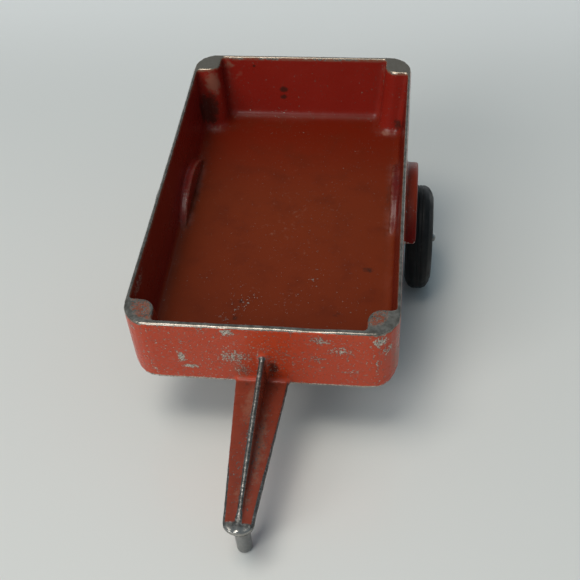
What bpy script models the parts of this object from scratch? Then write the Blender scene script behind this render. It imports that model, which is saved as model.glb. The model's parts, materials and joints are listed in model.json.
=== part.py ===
"""Cast-metal toy farm trailer: an open tub, drawbar and hitch pin in one casting, on two
rubber-tyred disc wheels that spin on a through axle.

The pieces are modelled level, in the trailer's own frame: the origin is the middle of the front
wall's outer face at rim height, X points right, Y to the rear and Z up. An empty carries them
all, and stands them on both wheels and the pin, as the trailer rests on a table."""

import math

import bmesh
import bpy
from mathutils import Matrix, Vector

MM = 0.001
SIDES = {"left": -1, "right": 1}

# Tub
TUB_WIDTH = 95 * MM
TUB_LENGTH = 158 * MM
TUB_DEPTH = 28.7 * MM
SIDE_WALL = 1.25 * MM
FRONT_WALL = 2.1 * MM
REAR_WALL = 1.7 * MM
FLOOR = 1.2 * MM
CORNER_RADIUS = 9.9 * MM
SIDE_EDGE_RADIUS = 6.5 * MM
FLOOR_FILLET = 3.1 * MM
POST_WIDTH = 10.9 * MM
POST_LENGTH = 11.5 * MM
POST_RADIUS = 5 * MM
RIM_COVE = 1.2 * MM
FLOOR_COVE = 3.35 * MM
INNER_DRAFT = math.radians(4.5)
REAR_DRAFT = math.radians(11)
REAR_POST_DRAFT = math.radians(14)
EDGE_ROUNDING = 0.45 * MM

# Axle and the parts that turn on it; x distances are from the trailer's middle plane
AXLE_Y = 96.3 * MM
AXLE_Z = -48.4 * MM
AXLE_RADIUS = 1.8 * MM
AXLE_HALF_LENGTH = 61 * MM
AXLE_NOSE = 0.6
AXLE_NOSE_SPREAD = 75
RUNNING_GAP = 0.3 * MM
WHEEL_CENTRE = 53.8 * MM
HUB_INNER_END = 43.1 * MM
HUB_OUTER_END = 57.6 * MM
HUB_RADIUS = 3.4 * MM
WASHER_RADIUS = 4.6 * MM
WASHER_THICKNESS = 0.9 * MM
RING_RADIUS = 3.9 * MM
RING_THICKNESS = 0.8 * MM

# Tyre; offsets are from the wheel's middle plane
TYRE_RADIUS = 22.1 * MM
TYRE_HALF_WIDTH = 5.5 * MM
TYRE_SHOULDER = 4.2 * MM
TYRE_BORE = 14 * MM
BEAD_HALF_WIDTH = 3 * MM
SEAT_RADIUS = 16 * MM
SIDEWALL_RADIUS = 17 * MM
SEAT_STEP = 0.4 * MM
GROOVE_OFFSET = 0.75 * MM
GROOVE_HALF_WIDTH = 0.35 * MM
GROOVE_FLOOR = 0.4
GROOVE_DEPTH = 0.4 * MM

# Pressed wheel disc; offsets are from the wheel's middle plane
DISC_THICKNESS = 1 * MM
DISC_CENTRE_OFFSET = 2.1 * MM
DISC_CENTRE_RADIUS = 6.3 * MM
DISC_DISH_OFFSET = 0.9 * MM
DISC_DISH_INNER_RADIUS = 8 * MM
DISC_DISH_OUTER_RADIUS = 11.4 * MM
DISC_LIP_OFFSET = 3.8 * MM
DISC_LIP_INNER_RADIUS = 12.9 * MM
DISC_LIP_RADIUS = 15.6 * MM

# Wheel arches
FENDER_RADIUS = 31.8 * MM
FENDER_FACE = 52.2 * MM
FENDER_ROUNDING = 0.9 * MM
WELL_RADIUS = 28.7 * MM
WELL_FLOOR = 43.3 * MM
BOSS_RADIUS = 30.4 * MM
BOSS_FACE = 41.5 * MM

# Axle legs under the floor
LEG_INNER_FACE = 36 * MM
LEG_OUTER_FACE = 41 * MM
LEG_TOP_HALF_LENGTH = 17 * MM
LEG_EYE_RADIUS = 6 * MM
LEG_EYE_FULLNESS = 0.96

# Drawbar
DRAWBAR_LENGTH = 61.4 * MM
DRAWBAR_ROOT_WIDTH = 19 * MM
DRAWBAR_TIP_WIDTH = 10 * MM
TIP_NOSE = 3.9 * MM
DRAWBAR_SLOPE = 0.036
FLANGE_THICKNESS = 1.9 * MM
FLANGE_ROUNDING = 0.6 * MM
RIB_THICKNESS = 1.8 * MM
RIB_ROOT_HEIGHT = 13.2 * MM
RIB_TIP_HEIGHT = 0.4 * MM
RIB_FILLET = 1.4 * MM
RIB_ROOT_SHIFT = 0.9 * MM
ROOT_COVE = 1.8 * MM
COVE_LIFT = 0.15
COVE_SPREAD = 0.8
COVE_FLARE = 0.15
CROWN_SHARE = 0.55
SHRUNK_ROUNDING = 0.4
SHRUNK_RIB = 0.35
SHRUNK_FILLET = 0.3
ROOT_COVE_STEP = 15
BAR_STATIONS = 6
TIP_TURNS = (15, 30, 45, 60, 70, 80)

# Hitch pin
PIN_Y = -55.2 * MM
PIN_RADIUS = 2.6 * MM
PIN_NECK_RADIUS = 2.9 * MM
PIN_NECK_LENGTH = 2.4 * MM
PIN_BOSS_RADIUS = 4.65 * MM
PIN_BOSS_SIDE = 4.3 * MM
PIN_BOSS_ROUNDING = 2 * MM
PIN_BOTTOM = -44.7 * MM
PIN_END_ROUNDING = 0.5 * MM
PIN_BOSS_SWEEP = 60

# Modelling
OVERLAP = 0.6 * MM
HAIRLINE = 0.05 * MM
ARC_SEGMENTS = 6
ARCH_SEGMENTS = 24
TURN_STEPS = 40
SMALL_TURN_STEPS = 24
WELD_DISTANCE = 0.001 * MM
SHARP_ANGLE = math.radians(35)
CAST_EDGE_ANGLE = math.radians(50)


def clear_scene():
    for old in list(bpy.data.objects):
        bpy.data.objects.remove(old, do_unlink=True)


def new_collection(name):
    collection = bpy.data.collections.new(name)
    bpy.context.scene.collection.children.link(collection)
    return collection


def new_material(name, colour, roughness, metallic):
    material = bpy.data.materials.new(name)
    material.use_nodes = True
    material.diffuse_color = (*colour, 1)
    shader = material.node_tree.nodes["Principled BSDF"]
    shader.inputs["Base Color"].default_value = (*colour, 1)
    shader.inputs["Roughness"].default_value = roughness
    shader.inputs["Metallic"].default_value = metallic
    return material


def new_solid(name, data, collection):
    solid = bpy.data.objects.new(name, data)
    collection.objects.link(solid)
    return solid


def arc(centre, radius, first, last, segments):
    """Points on a circle from the angle first to the angle last, in degrees."""
    angles = [math.radians(first + (last - first) * step / segments) for step in range(segments + 1)]
    return [(centre[0] + radius * math.cos(a), centre[1] + radius * math.sin(a)) for a in angles]


def rounded_outline(corners):
    """Closed outline through corners given as (u, v, radius), with an arc at each corner."""
    points = []
    for index, (u, v, radius) in enumerate(corners):
        corner = Vector((u, v))
        if radius == 0:
            points.append(corner)
            continue
        before = (Vector(corners[index - 1][:2]) - corner).normalized()
        after = (Vector(corners[(index + 1) % len(corners)][:2]) - corner).normalized()
        half_angle = before.angle(after) / 2
        centre = corner + (before + after).normalized() * radius / math.sin(half_angle)
        start = (corner + before * radius / math.tan(half_angle) - centre).normalized()
        end = (corner + after * radius / math.tan(half_angle) - centre).normalized()
        for step in range(ARC_SEGMENTS + 1):
            points.append(centre + start.slerp(end, step / ARC_SEGMENTS) * radius)
    return points


def mirrored(corners):
    """A right-hand run of (u, v, radius) corners, followed by its mirror image."""
    return corners + [(-u, v, radius) for u, v, radius in reversed(corners)]


def prism(name, outline, start, end, collection, axes="XYZ"):
    """A flat outline pushed from start to end along the third of axes; its u and v run along
    the first two."""
    curve = bpy.data.curves.new(name, "CURVE")
    curve.dimensions = "2D"
    curve.fill_mode = "NONE"
    curve.extrude = (end - start) / 2
    spline = curve.splines.new("POLY")
    spline.points.add(len(outline) - 1)
    for point, (u, v) in zip(spline.points, outline):
        point.co = (u, v, 0, 1)
    spline.use_cyclic_u = True
    flat = new_solid(name, curve, collection)
    mesh = bpy.data.meshes.new_from_object(flat.evaluated_get(bpy.context.evaluated_depsgraph_get()))
    bpy.data.objects.remove(flat)
    columns = [[float(letter == axis) for axis in axes] for letter in "XYZ"]
    mesh.transform(Matrix(columns).to_4x4() @ Matrix.Translation((0, 0, (start + end) / 2)))
    mesh.name = name
    shape = bmesh.new()
    shape.from_mesh(mesh)
    bmesh.ops.remove_doubles(shape, verts=shape.verts, dist=WELD_DISTANCE)
    bmesh.ops.holes_fill(shape, edges=shape.edges)
    bmesh.ops.recalc_face_normals(shape, faces=shape.faces)
    shape.to_mesh(mesh)
    shape.free()
    return new_solid(name, mesh, collection)


def loft(name, rings, collection):
    """Closed skin over rings of points, which all have the same number of points."""
    shape = bmesh.new()
    rows = [[shape.verts.new(point) for point in ring] for ring in rings]
    for near, far in zip(rows, rows[1:]):
        for index in range(len(near)):
            shape.faces.new((near[index - 1], near[index], far[index], far[index - 1]))
    shape.faces.new(rows[0])
    shape.faces.new(rows[-1])
    bmesh.ops.recalc_face_normals(shape, faces=shape.faces)
    mesh = bpy.data.meshes.new(name)
    shape.to_mesh(mesh)
    shape.free()
    return new_solid(name, mesh, collection)


def combine(target, tool, operation):
    modifier = target.modifiers.new(f"{operation.lower()}_{tool.name}", "BOOLEAN")
    modifier.operation = operation
    modifier.solver = "EXACT"
    modifier.object = tool


def round_edges(solid, radius, segments, chosen):
    """Round the edges that the function chosen picks out, before any modifier."""
    shape = bmesh.new()
    shape.from_mesh(solid.data)
    bmesh.ops.bevel(
        shape, geom=[edge for edge in shape.edges if chosen(edge)], offset=radius,
        offset_type="OFFSET", segments=segments, profile=0.5, affect="EDGES", clamp_overlap=True)
    shape.to_mesh(solid.data)
    shape.free()


def tub_shell(collection, tools):
    half = TUB_WIDTH / 2
    plan = rounded_outline(mirrored([(half, 0, CORNER_RADIUS), (half, TUB_LENGTH, CORNER_RADIUS)]))
    shell = prism("body_casting", plan, -TUB_DEPTH, 0, collection)
    section = rounded_outline(mirrored([(half, -TUB_DEPTH, SIDE_EDGE_RADIUS), (half, OVERLAP, 0)]))
    envelope = prism("tool_side_edges", section, -OVERLAP, TUB_LENGTH + OVERLAP, tools, axes="XZY")
    combine(shell, envelope, "INTERSECT")
    return shell


def load_space_outline(height):
    """Plan of the load space at a height; the walls and posts thicken towards the floor, most of
    all at the rear."""
    draft = -height * math.tan(INNER_DRAFT)
    inside = TUB_WIDTH / 2 - SIDE_WALL - draft
    post = TUB_WIDTH / 2 - POST_WIDTH - draft
    front, front_post = FRONT_WALL + draft, POST_LENGTH + draft
    rear = TUB_LENGTH - REAR_WALL + height * math.tan(REAR_DRAFT)
    rear_post = TUB_LENGTH - POST_LENGTH + height * math.tan(REAR_POST_DRAFT)
    depth = max(0, -height / (TUB_DEPTH - FLOOR))
    cove = RIM_COVE + (FLOOR_COVE - RIM_COVE) * depth
    return rounded_outline(mirrored([
        (post, front, cove), (post, front_post, POST_RADIUS), (inside, front_post, cove),
        (inside, rear_post, cove), (post, rear_post, POST_RADIUS), (post, rear, cove)]))


def tub_cavity(tools):
    """The load space, with a notch left at each corner for a solid post."""
    floor_height = -TUB_DEPTH + FLOOR
    rings = [[(u, v, height) for u, v in load_space_outline(height)] for height in (floor_height, OVERLAP)]
    cavity = loft("tool_load_space", rings, tools)
    round_edges(cavity, FLOOR_FILLET, 4, lambda edge: all(
        abs(vert.co.z - floor_height) < WELD_DISTANCE for vert in edge.verts))
    for side, sign in SIDES.items():
        boss = arch_segment(f"tool_boss_{side}", BOSS_RADIUS, BOSS_FACE, TUB_WIDTH / 2, sign, tools)
        combine(cavity, boss, "DIFFERENCE")
    return cavity


def arch_segment(name, radius, inner_face, outer_face, sign, collection, bottom=-TUB_DEPTH - OVERLAP):
    """Half-moon plate around the axle's line, cut off flat below, between two distances from
    the middle plane."""
    spread = math.degrees(math.asin((bottom - AXLE_Z) / radius))
    outline = arc((AXLE_Y, AXLE_Z), radius, spread, 180 - spread, ARCH_SEGMENTS)
    faces = sorted((sign * inner_face, sign * outer_face))
    return prism(name, outline, *faces, collection, axes="YZX")


def fender(side, sign, tools):
    bottom = -TUB_DEPTH + HAIRLINE
    ledge = arch_segment(f"tool_fender_{side}", FENDER_RADIUS, WELL_FLOOR, FENDER_FACE, sign, tools, bottom)
    round_edges(ledge, FENDER_ROUNDING, 3, lambda edge: all(
        abs(abs(vert.co.x) - FENDER_FACE) < WELD_DISTANCE for vert in edge.verts))
    return ledge


def axle_leg(side, sign, tools):
    top = -TUB_DEPTH + OVERLAP
    eye = LEG_EYE_RADIUS
    outline = rounded_outline([
        (AXLE_Y - LEG_TOP_HALF_LENGTH, top, 0),
        (AXLE_Y - eye, AXLE_Z - eye, eye * LEG_EYE_FULLNESS),
        (AXLE_Y + eye, AXLE_Z - eye, eye * LEG_EYE_FULLNESS),
        (AXLE_Y + LEG_TOP_HALF_LENGTH, top, 0)])
    faces = sorted((sign * LEG_INNER_FACE, sign * LEG_OUTER_FACE))
    return prism(f"tool_leg_{side}", outline, *faces, tools, axes="YZX")


def on_axle_line(solid, sign):
    """Turn a piece so that its own Z points outward along the axle on its side."""
    solid.location = (0, AXLE_Y, AXLE_Z)
    solid.rotation_euler = (0, sign * math.pi / 2, 0)


def turned(name, profile, collection, closed=True, steps=TURN_STEPS):
    """Body of revolution about its own Z from a profile of (radius, height) points, which runs
    down its outer side; an open one ends on the axis, or is given thickness afterwards."""
    mesh = bpy.data.meshes.new(name)
    edges = [(index, index + 1) for index in range(len(profile) - 1)]
    if closed:
        edges.append((len(profile) - 1, 0))
    mesh.from_pydata([(radius, 0, height) for radius, height in profile], edges, [])
    solid = new_solid(name, mesh, collection)
    screw = solid.modifiers.new("Turn", "SCREW")
    screw.steps = steps
    screw.render_steps = steps
    screw.use_merge_vertices = True
    screw.merge_threshold = WELD_DISTANCE
    return solid


def drawbar_section(y, half_width, cove):
    """Upside-down T across the drawbar at y, as (x, z) points; cove swells it at the wall. The
    rib and its fillets shrink in proportion where the tip rounds off, and the rib starts a
    little right of the middle."""
    along = min(1, max(0, -y) / (DRAWBAR_LENGTH - TIP_NOSE))
    shift = RIB_ROOT_SHIFT * (1 - along) ** 2
    bottom = -TUB_DEPTH + HAIRLINE - DRAWBAR_SLOPE * min(0, y)
    top = bottom + FLANGE_THICKNESS + cove
    flange = half_width + cove * COVE_FLARE
    rounding = min(FLANGE_ROUNDING, flange * SHRUNK_ROUNDING)
    height = RIB_ROOT_HEIGHT + (RIB_TIP_HEIGHT - RIB_ROOT_HEIGHT) * along + cove * COVE_LIFT
    rib = min(RIB_THICKNESS / 2, flange * SHRUNK_RIB) + cove * COVE_SPREAD
    fillet = min(RIB_FILLET, height * SHRUNK_ROUNDING, flange * SHRUNK_FILLET)
    crown = min(rib * CROWN_SHARE, height - fillet)
    edge = arc((flange - rounding, bottom + rounding), rounding, -90, 0, 2)
    edge += arc((flange - rounding, top - rounding), rounding, 0, 90, 2)
    side = arc((rib + fillet, top + fillet), fillet, 270, 180, 3)
    side += arc((rib - crown, top + height - crown), crown, 0, 90, 2)
    right = edge + [(x + shift, z) for x, z in side]
    left = [(shift - x, z) for x, z in reversed(side)] + [(-x, z) for x, z in reversed(edge)]
    return right + left


def drawbar(tools):
    """Loft of sections from inside the front wall to the round tip."""
    tip_radius = DRAWBAR_TIP_WIDTH / 2
    tip_y = -(DRAWBAR_LENGTH - TIP_NOSE)
    root = DRAWBAR_ROOT_WIDTH / 2
    stations = [(OVERLAP, root, ROOT_COVE)]
    for angle in range(90, -1, -ROOT_COVE_STEP):
        y = -ROOT_COVE * (1 - math.sin(math.radians(angle)))
        cove = ROOT_COVE * (1 - math.cos(math.radians(angle)))
        stations.append((y, root + (tip_radius - root) * y / tip_y, cove))
    for step in range(1, BAR_STATIONS + 1):
        y = -ROOT_COVE + (tip_y + ROOT_COVE) * step / BAR_STATIONS
        stations.append((y, root + (tip_radius - root) * y / tip_y, 0))
    for angle in TIP_TURNS:
        turn = math.radians(angle)
        stations.append((tip_y - TIP_NOSE * math.sin(turn), tip_radius * math.cos(turn), 0))
    rings = [
        [(x, y, z) for x, z in drawbar_section(y, half_width, cove)]
        for y, half_width, cove in stations]
    return loft("tool_drawbar", rings, tools)


def hitch_pin(tools):
    """Round peg under a boss at the drawbar's tip, from inside the flange to its blunt end."""
    top = -TUB_DEPTH - DRAWBAR_SLOPE * PIN_Y + FLANGE_THICKNESS
    shoulder = (PIN_BOSS_RADIUS - PIN_BOSS_ROUNDING, top - PIN_BOSS_SIDE)
    neck = top - PIN_BOSS_SIDE - PIN_BOSS_ROUNDING
    end_core = PIN_RADIUS - PIN_END_ROUNDING
    profile = [(0, top - OVERLAP), (PIN_BOSS_RADIUS, top - OVERLAP)]
    profile += arc(shoulder, PIN_BOSS_ROUNDING, 0, -PIN_BOSS_SWEEP, 4)
    profile += [(PIN_NECK_RADIUS, neck - OVERLAP), (PIN_RADIUS, neck - PIN_NECK_LENGTH)]
    profile += arc((end_core, PIN_BOTTOM + PIN_END_ROUNDING), PIN_END_ROUNDING, 0, -90, 3)
    profile.append((0, PIN_BOTTOM))
    pin = turned("tool_pin", profile, tools, closed=False, steps=SMALL_TURN_STEPS)
    pin.location = (0, PIN_Y, 0)
    return pin


def body_casting(collection, tools):
    casting = tub_shell(collection, tools)
    combine(casting, drawbar(tools), "UNION")
    combine(casting, hitch_pin(tools), "UNION")
    for side, sign in SIDES.items():
        combine(casting, fender(side, sign, tools), "UNION")
        combine(casting, axle_leg(side, sign, tools), "UNION")
    combine(casting, tub_cavity(tools), "DIFFERENCE")
    for side, sign in SIDES.items():
        outside = FENDER_FACE + OVERLAP
        well = arch_segment(f"tool_well_{side}", WELL_RADIUS, WELL_FLOOR, outside, sign, tools)
        combine(casting, well, "DIFFERENCE")
    circle = arc((AXLE_Y, AXLE_Z), AXLE_RADIUS + RUNNING_GAP, 0, 360, SMALL_TURN_STEPS)[:-1]
    bore = prism("tool_axle_bore", circle, -TUB_WIDTH / 2, TUB_WIDTH / 2, tools, axes="YZX")
    combine(casting, bore, "DIFFERENCE")
    rounding = casting.modifiers.new("Cast edges", "BEVEL")
    rounding.width = EDGE_ROUNDING
    rounding.segments = 2
    rounding.limit_method = "ANGLE"
    rounding.angle_limit = CAST_EDGE_ANGLE
    return casting


def axle(collection):
    nose = AXLE_RADIUS * AXLE_NOSE
    end = AXLE_HALF_LENGTH - nose
    top = [(AXLE_RADIUS * r, end + nose * h) for r, h in arc((0, 0), 1, AXLE_NOSE_SPREAD, 0, 5)]
    bottom = [(radius, -height) for radius, height in reversed(top)]
    profile = [(0, AXLE_HALF_LENGTH)] + top + bottom + [(0, -AXLE_HALF_LENGTH)]
    rod = turned("axle", profile, collection, closed=False, steps=SMALL_TURN_STEPS)
    on_axle_line(rod, 1)
    return rod


def plain_ring(name, radius, start, end, sign, collection):
    """Ring that runs on the axle, between two distances from the middle plane."""
    bore = AXLE_RADIUS + RUNNING_GAP
    profile = [(bore, start), (bore, end), (radius, end), (radius, start)]
    ring = turned(name, profile, collection, steps=SMALL_TURN_STEPS)
    on_axle_line(ring, sign)
    return ring


def washer(side, sign, collection):
    start = LEG_OUTER_FACE + RUNNING_GAP * 2
    return plain_ring(f"washer_{side}", WASHER_RADIUS, start, start + WASHER_THICKNESS, sign, collection)


def retaining_ring(side, sign, collection):
    start = HUB_OUTER_END + RUNNING_GAP
    name = f"retaining_ring_{side}"
    return plain_ring(name, RING_RADIUS, start, start + RING_THICKNESS, sign, collection)


def wheel_hub(side, sign, collection):
    name = f"wheel_hub_{side}"
    return plain_ring(name, HUB_RADIUS, HUB_INNER_END, HUB_OUTER_END, sign, collection)


def tyre(side, sign, collection):
    """Rubber ring: an inner bead between the discs, a seat for each disc's lip, and two grooves
    round the tread."""
    shoulder = (TYRE_RADIUS - TYRE_SHOULDER, TYRE_HALF_WIDTH - TYRE_SHOULDER)
    half = [
        (TYRE_BORE, BEAD_HALF_WIDTH), (SEAT_RADIUS, BEAD_HALF_WIDTH),
        (SEAT_RADIUS, TYRE_HALF_WIDTH - SEAT_STEP), (SIDEWALL_RADIUS, TYRE_HALF_WIDTH)]
    half += arc(shoulder, TYRE_SHOULDER, 90, 0, ARC_SEGMENTS)
    for edge, depth in ((1, 0), (GROOVE_FLOOR, 1), (-GROOVE_FLOOR, 1), (-1, 0)):
        half.append((TYRE_RADIUS - depth * GROOVE_DEPTH, GROOVE_OFFSET + edge * GROOVE_HALF_WIDTH))
    other_half = [(radius, -offset) for radius, offset in reversed(half)]
    profile = [(radius, WHEEL_CENTRE + offset) for radius, offset in half + other_half]
    ring = turned(f"tyre_{side}", profile, collection)
    on_axle_line(ring, sign)
    return ring


def wheel_disc(side, sign, facing, collection):
    """Dished steel pressing; facing is 1 for the outer disc and -1 for the inner."""
    section = [
        (HUB_RADIUS + RUNNING_GAP, DISC_CENTRE_OFFSET), (DISC_CENTRE_RADIUS, DISC_CENTRE_OFFSET),
        (DISC_DISH_INNER_RADIUS, DISC_DISH_OFFSET), (DISC_DISH_OUTER_RADIUS, DISC_DISH_OFFSET),
        (DISC_LIP_INNER_RADIUS, DISC_LIP_OFFSET), (DISC_LIP_RADIUS, DISC_LIP_OFFSET)]
    profile = [(radius, WHEEL_CENTRE + facing * offset) for radius, offset in section]
    place = {1: "outer", -1: "inner"}[facing]
    disc = turned(f"wheel_disc_{place}_{side}", profile, collection, closed=False)
    sheet = disc.modifiers.new("Sheet", "SOLIDIFY")
    sheet.thickness = DISC_THICKNESS
    sheet.offset = 0
    sheet.use_even_offset = True
    on_axle_line(disc, sign)
    return disc


def stand_on_table(frame, pieces):
    """Tip the trailer forward until the wheels and the pin's front edge touch one plane, and put
    the middle of its underside at the world origin."""
    toe = Vector((PIN_Y - PIN_RADIUS + PIN_END_ROUNDING, PIN_BOTTOM))
    reach = Vector((AXLE_Y, AXLE_Z)) - toe
    frame.rotation_euler.x = math.asin(TYRE_RADIUS / reach.length) - math.atan2(reach.y, reach.x)
    bpy.context.view_layer.update()
    graph = bpy.context.evaluated_depsgraph_get()
    corners = []
    for piece in pieces:
        shown = piece.evaluated_get(graph)
        corners += [shown.matrix_world @ vert.co for vert in shown.data.vertices]
    low = [min(corner[axis] for corner in corners) for axis in range(3)]
    high = [max(corner[axis] for corner in corners) for axis in range(3)]
    frame.location -= Vector(((low[0] + high[0]) / 2, (low[1] + high[1]) / 2, low[2]))


def finish(piece, material, frame):
    piece.data.materials.append(material)
    piece.parent = frame
    if piece.type == "MESH":
        piece.data.shade_smooth()
        piece.data.set_sharp_from_angle(angle=SHARP_ANGLE)


def main():
    clear_scene()
    parts = new_collection("toy_farm_trailer")
    tools = new_collection("cutters")
    paint = new_material("red_enamel_on_cast_metal", (0.36, 0.05, 0.03), 0.45, 0.1)
    steel = new_material("plain_steel", (0.42, 0.42, 0.41), 0.35, 1.0)
    zinc = new_material("zinc_plated_steel", (0.55, 0.55, 0.54), 0.4, 0.9)
    rubber = new_material("black_rubber", (0.02, 0.02, 0.02), 0.8, 0.0)
    made = [(body_casting(parts, tools), paint), (axle(parts), steel)]
    for side, sign in SIDES.items():
        made += [
            (washer(side, sign, parts), zinc), (retaining_ring(side, sign, parts), steel),
            (wheel_hub(side, sign, parts), steel), (wheel_disc(side, sign, 1, parts), zinc),
            (wheel_disc(side, sign, -1, parts), zinc), (tyre(side, sign, parts), rubber)]
    frame = new_solid("trailer_frame", None, parts)
    for piece, material in made:
        finish(piece, material, frame)
    for tool in tools.objects:
        tool.parent = frame
        tool.display_type = "WIRE"
        tool.hide_render = True
    stand_on_table(frame, [piece for piece, _ in made])


main()
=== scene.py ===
"""The looks of the cast-metal toy farm trailer: its worn red casting, tyres, wheels and axle.

Lengths are in millimetres up to the point where a mesh or an object is made, and in metres from
there. The casting is worked out in the trailer's level frame, where the rim is at Z 0 and the
front wall at Y 0, and its enamel is patterned in that frame. The turned pieces have frames of
their own on the axle, with X along it, and their patterns read those."""
import json
import math

import bmesh
import bpy
import numpy as np
from mathutils import Euler, Matrix, Vector, noise


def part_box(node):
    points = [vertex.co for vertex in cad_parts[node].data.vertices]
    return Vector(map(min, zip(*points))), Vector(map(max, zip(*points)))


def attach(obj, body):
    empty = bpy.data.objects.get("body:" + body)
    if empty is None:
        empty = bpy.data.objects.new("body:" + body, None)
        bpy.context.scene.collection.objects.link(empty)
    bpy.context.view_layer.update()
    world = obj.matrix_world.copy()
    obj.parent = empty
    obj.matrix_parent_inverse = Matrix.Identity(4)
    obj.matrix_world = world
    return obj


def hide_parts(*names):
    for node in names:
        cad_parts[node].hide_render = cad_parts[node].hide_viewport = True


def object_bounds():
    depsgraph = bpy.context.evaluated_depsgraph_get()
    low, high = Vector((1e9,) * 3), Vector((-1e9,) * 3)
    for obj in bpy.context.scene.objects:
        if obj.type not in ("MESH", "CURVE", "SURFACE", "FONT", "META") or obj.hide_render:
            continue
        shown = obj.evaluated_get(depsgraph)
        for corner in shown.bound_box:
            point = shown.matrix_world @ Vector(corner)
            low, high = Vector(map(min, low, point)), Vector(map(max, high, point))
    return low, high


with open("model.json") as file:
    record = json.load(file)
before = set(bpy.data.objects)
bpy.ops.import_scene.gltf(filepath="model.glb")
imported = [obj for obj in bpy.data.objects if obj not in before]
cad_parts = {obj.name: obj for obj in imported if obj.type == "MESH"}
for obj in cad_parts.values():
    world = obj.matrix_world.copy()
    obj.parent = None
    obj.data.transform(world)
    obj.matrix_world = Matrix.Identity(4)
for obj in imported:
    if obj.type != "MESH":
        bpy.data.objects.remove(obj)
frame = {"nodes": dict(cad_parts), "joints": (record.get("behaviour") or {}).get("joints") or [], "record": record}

CAD_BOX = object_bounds()
MM = 0.001
SIDES = {"left": -1, "right": 1}

# The casting in its level frame, in millimetres
HALF_WIDTH = 47.5
LENGTH = 158
FLOOR_TOP = -27.5
BOTTOM = -28.7
CORNER_RADIUS = 9.9
SIDE_EDGE_RADIUS = 6.5
AXLE_Y = 96.3
AXLE_Z = -48.4
BAR_LENGTH = 61.4
BAR_ROOT_HALF = 9.5
BAR_TIP_HALF = 5
PIN_Y = -55.2
WALL = 2.5  # farther in from the outside than this is within the tub

# The crest of the drawbar's rib: its height at the front wall, and how much it falls per
# millimetre towards the pin
CREST_Z = -13.55
CREST_FALL = 0.187

# How the casting's surface is made, with lengths in metres
MERGE_WITHIN = 0.002 * MM
VOXEL = 0.5 * MM
SOFTENING_ROUNDS = 2
SOFTENING = 0.6
CASTING_TRIANGLES = 170_000

# How uneven it is, in millimetres. Each ripple is a height, a wavelength and a seed. Each dent in
# the front rim is its x, its width and its depth.
SKIN_RIPPLES = ((0.07, 15, 1), (0.025, 4, 2))
RIM_RIPPLES = ((0.10, 9, 3), (0.05, 3, 4))
SKIN_RESTORED = 0.05  # what the softening took off the skin
RIM_RESTORED = 0.2  # and off the rim
RIM_DENTS = ((18, 7, 0.3), (-14, 4, 0.15))
SIDE_BOW = 0.25
SIDE_BOW_DEPTH = 14

# Where paint wears off: how strongly an edge or a hollow is taken from the surface's bending, and
# how hard each part's edges are rubbed
EDGE_GAIN = 6
HOLLOW_GAIN = 5
EDGE_WEAR = {"elsewhere": 0.62, "within": 0.35, "rim": 0.75, "front low edge": 0.4, "drawbar": 0.2,
             "fender": 0.4}

# Wheels and axle, in millimetres from the wheel's middle plane and from the axle's line
TYRE_SEAT = 16
TYRE_BORE = 14
RING_BORE = 2.1
AXLE_DOME = 1.1
TURN_STEPS = 160
ON_AXIS = 1e-6
SHARP_FROM = math.radians(40)

# Stage: the table in metres, and the camera in millimetres and degrees in the level frame
TABLE_REACH = 4
EYE_PLACE = (46.56, -198.07, 241.07)
EYE_ANGLES = (42.272, 3.166, 6.296)
FOCAL_LENGTH = 58.84
SENSOR_WIDTH = 36
NEAREST_SEEN = 0.01  # metres


# ---------------------------------------------------------------- places

def joint_place(name):
    return Vector(next(joint["pos_m"] for joint in frame["joints"] if joint["name"] == name))


def level_frame():
    """The trailer's level frame: it stands nose down, turned about the axle."""
    mounts = frame["record"]["mounts"]
    down = Vector(next(mount["axis"] for mount in mounts if mount["name"] == "underside"))
    turn = Matrix.Rotation(math.atan2(down.y, -down.z), 4, "X")
    axle_from_rim = turn @ Vector((0, AXLE_Y * MM, AXLE_Z * MM))
    return Matrix.Translation(joint_place("axle_spin") - axle_from_rim) @ turn


# ---------------------------------------------------------------- meshes

def new_piece(name, mesh, place):
    piece = bpy.data.objects.new(name, mesh)
    bpy.context.scene.collection.objects.link(piece)
    piece.matrix_world = place
    return piece


def with_modifiers(piece):
    """The piece's mesh as its modifiers leave it, with the modifiers removed."""
    bpy.context.view_layer.update()
    made = bpy.data.meshes.new_from_object(piece.evaluated_get(bpy.context.evaluated_depsgraph_get()))
    piece.modifiers.clear()
    piece.data = made
    return made


def read_points(mesh):
    points = np.empty(len(mesh.vertices) * 3)
    mesh.vertices.foreach_get("co", points)
    return points.reshape(-1, 3)


def read_normals(mesh):
    normals = np.empty(len(mesh.vertices) * 3)
    mesh.vertices.foreach_get("normal", normals)
    return normals.reshape(-1, 3)


def read_edges(mesh):
    """The first and the second vertex of every edge."""
    edges = np.empty(len(mesh.edges) * 2, np.int64)
    mesh.edges.foreach_get("vertices", edges)
    return edges[0::2], edges[1::2]


def write_points(mesh, points):
    mesh.vertices.foreach_set("co", points.astype(np.float32).ravel())
    mesh.update()


def neighbour_mean(mesh, values):
    """Each vertex's mean of values over the vertices that share an edge with it."""
    start, end = read_edges(mesh)
    size = len(values)
    count = np.bincount(start, minlength=size) + np.bincount(end, minlength=size)
    columns = values.reshape(size, -1).T
    sums = [np.bincount(start, column[end], size) + np.bincount(end, column[start], size)
            for column in columns]
    return (np.array(sums) / np.maximum(count, 1)).T.reshape(values.shape)


def store(mesh, name, values):
    """Keeps a value at each vertex, for a material to read by name."""
    layer = mesh.attributes.new(name, "FLOAT", "POINT")
    layer.data.foreach_set("value", values.astype(np.float32))


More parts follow.
